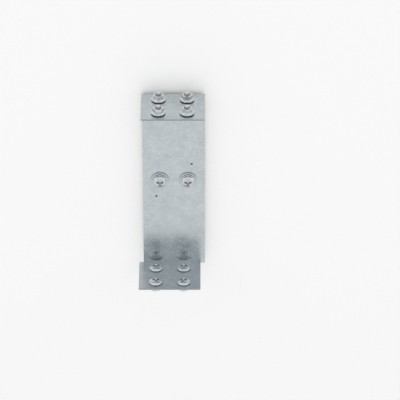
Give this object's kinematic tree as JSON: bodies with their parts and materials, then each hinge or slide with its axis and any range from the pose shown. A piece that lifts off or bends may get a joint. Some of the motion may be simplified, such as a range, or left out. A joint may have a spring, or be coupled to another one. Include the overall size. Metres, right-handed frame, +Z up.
{
  "type": "cable tray splice plate set",
  "caption": "Flat steel splice plates for one butt joint of a trunk-shaped cable tray, with cross-recess collar screws and flange nuts.",
  "frame": {"origin": "on the line where the two tray lengths butt, midway across the tray, on the face of the base plate that bears on the tray's base", "axes": "+X along the tray's run, +Y across the tray towards the left side plate, +Z up out of the tray's base, towards its open side"},
  "size_m": [0.0665, 0.217, 0.0584],
  "materials": {
    "galvanised_sheet": "hot-dip zinc coated cold-rolled sheet, dull with faint spangle and rolling lines",
    "zinc_screw": "cold-headed, bright clear zinc plating",
    "zinc_washer": "stamped, bright clear zinc plating",
    "zinc_nut": "cold-forged, clear zinc plating"
  },
  "bodies": {
    "root": {"base_plate": "galvanised_sheet", "left_side_plate": "galvanised_sheet", "right_side_plate": "galvanised_sheet", "base_screw_1": "zinc_screw", "base_screw_2": "zinc_screw", "base_washer_1": "zinc_washer", "base_washer_2": "zinc_washer", "base_nut_1": "zinc_nut", "base_nut_2": "zinc_nut", "left_screw_1": "zinc_screw", "left_screw_2": "zinc_screw", "left_screw_3": "zinc_screw", "left_screw_4": "zinc_screw", "right_screw_1": "zinc_screw", "right_screw_2": "zinc_screw", "right_screw_3": "zinc_screw", "right_screw_4": "zinc_screw", "left_nut_1": "zinc_nut", "left_nut_2": "zinc_nut", "left_nut_3": "zinc_nut", "left_nut_4": "zinc_nut", "right_nut_1": "zinc_nut", "right_nut_2": "zinc_nut", "right_nut_3": "zinc_nut", "right_nut_4": "zinc_nut"}
  },
  "joints": []
}
